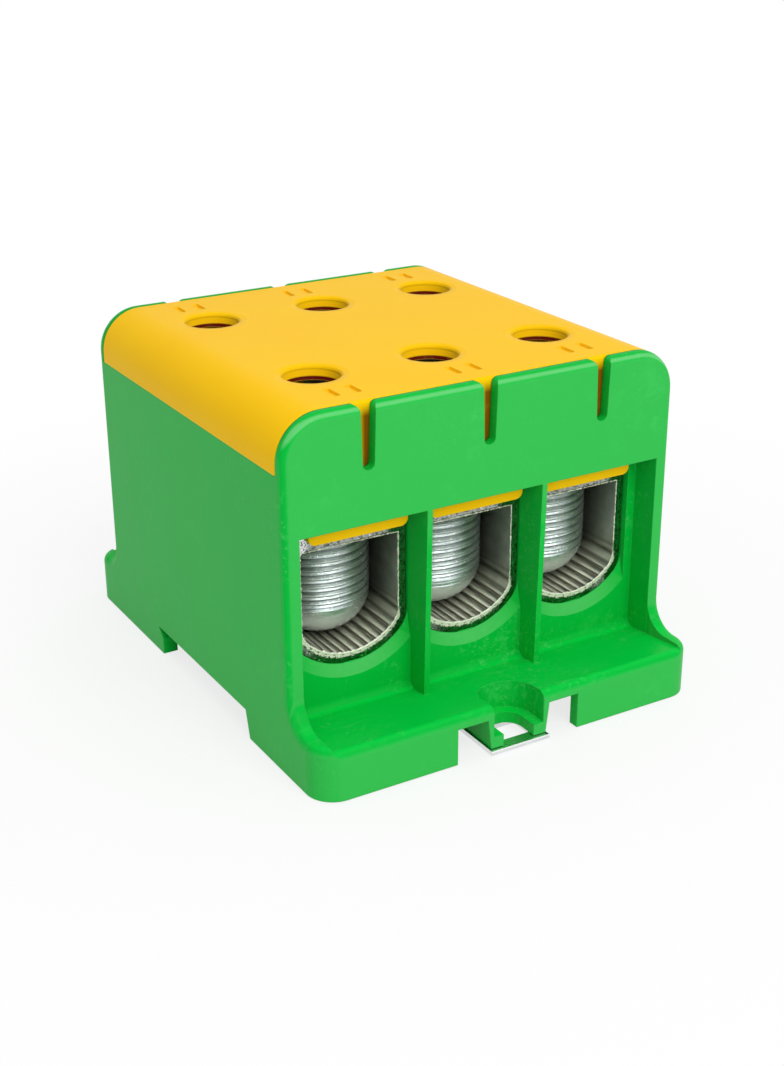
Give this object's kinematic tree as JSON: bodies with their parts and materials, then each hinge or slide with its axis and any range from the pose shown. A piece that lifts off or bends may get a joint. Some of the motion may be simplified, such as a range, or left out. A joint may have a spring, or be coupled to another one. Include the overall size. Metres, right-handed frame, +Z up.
{
  "type": "feed-through terminal block",
  "caption": "Rail-mounted feed-through terminal block: arched cover with key access holes, slotted end panels, ribbed conductor mouths with screw clamps, aprons and a sprung rail latch.",
  "frame": {"origin": "middle of the base, in the plane of its lower rims", "axes": "+Z up through the cover, Y along the conductors with the rail latch on the -Y side, X along the mounting rail"},
  "size_m": [0.0754, 0.0962, 0.0612],
  "materials": {
    "housing_green": "satin moulded",
    "cover_yellow": "satin moulded",
    "body_tinned": "tin plated, serrated bore floor",
    "screw_zinc": "zinc plated",
    "latch_zinc": "zinc plated sheet",
    "spring_wire": "drawn wire"
  },
  "bodies": {
    "block": {"base_housing": "housing_green", "top_cover": "cover_yellow", "terminal_body_1": "body_tinned", "terminal_body_2": "body_tinned", "terminal_body_3": "body_tinned", "latch_spring": "spring_wire"},
    "screw_front_1": {"clamp_screw_front_1": "screw_zinc"},
    "screw_back_1": {"clamp_screw_back_1": "screw_zinc"},
    "screw_front_2": {"clamp_screw_front_2": "screw_zinc"},
    "screw_back_2": {"clamp_screw_back_2": "screw_zinc"},
    "screw_front_3": {"clamp_screw_front_3": "screw_zinc"},
    "screw_back_3": {"clamp_screw_back_3": "screw_zinc"},
    "latch": {"rail_latch": "latch_zinc"}
  },
  "joints": [
    {"name": "screw_front_1_travel", "type": "slide", "parent": "block", "child": "screw_front_1", "axis": [0, 0, 1], "range_m": [0, 0.0165]},
    {"name": "screw_back_1_travel", "type": "slide", "parent": "block", "child": "screw_back_1", "axis": [0, 0, 1], "range_m": [0, 0.0165]},
    {"name": "screw_front_2_travel", "type": "slide", "parent": "block", "child": "screw_front_2", "axis": [0, 0, 1], "range_m": [0, 0.0165]},
    {"name": "screw_back_2_travel", "type": "slide", "parent": "block", "child": "screw_back_2", "axis": [0, 0, 1], "range_m": [0, 0.0165]},
    {"name": "screw_front_3_travel", "type": "slide", "parent": "block", "child": "screw_front_3", "axis": [0, 0, 1], "range_m": [0, 0.0165]},
    {"name": "screw_back_3_travel", "type": "slide", "parent": "block", "child": "screw_back_3", "axis": [0, 0, 1], "range_m": [0, 0.0165]},
    {"name": "latch_pull", "type": "slide", "parent": "block", "child": "latch", "axis": [0, -1, 0], "range_m": [0, 0.003], "stiffness_N_per_m": 800, "springref_m": -0.004, "deforming": ["latch_spring"]}
  ]
}
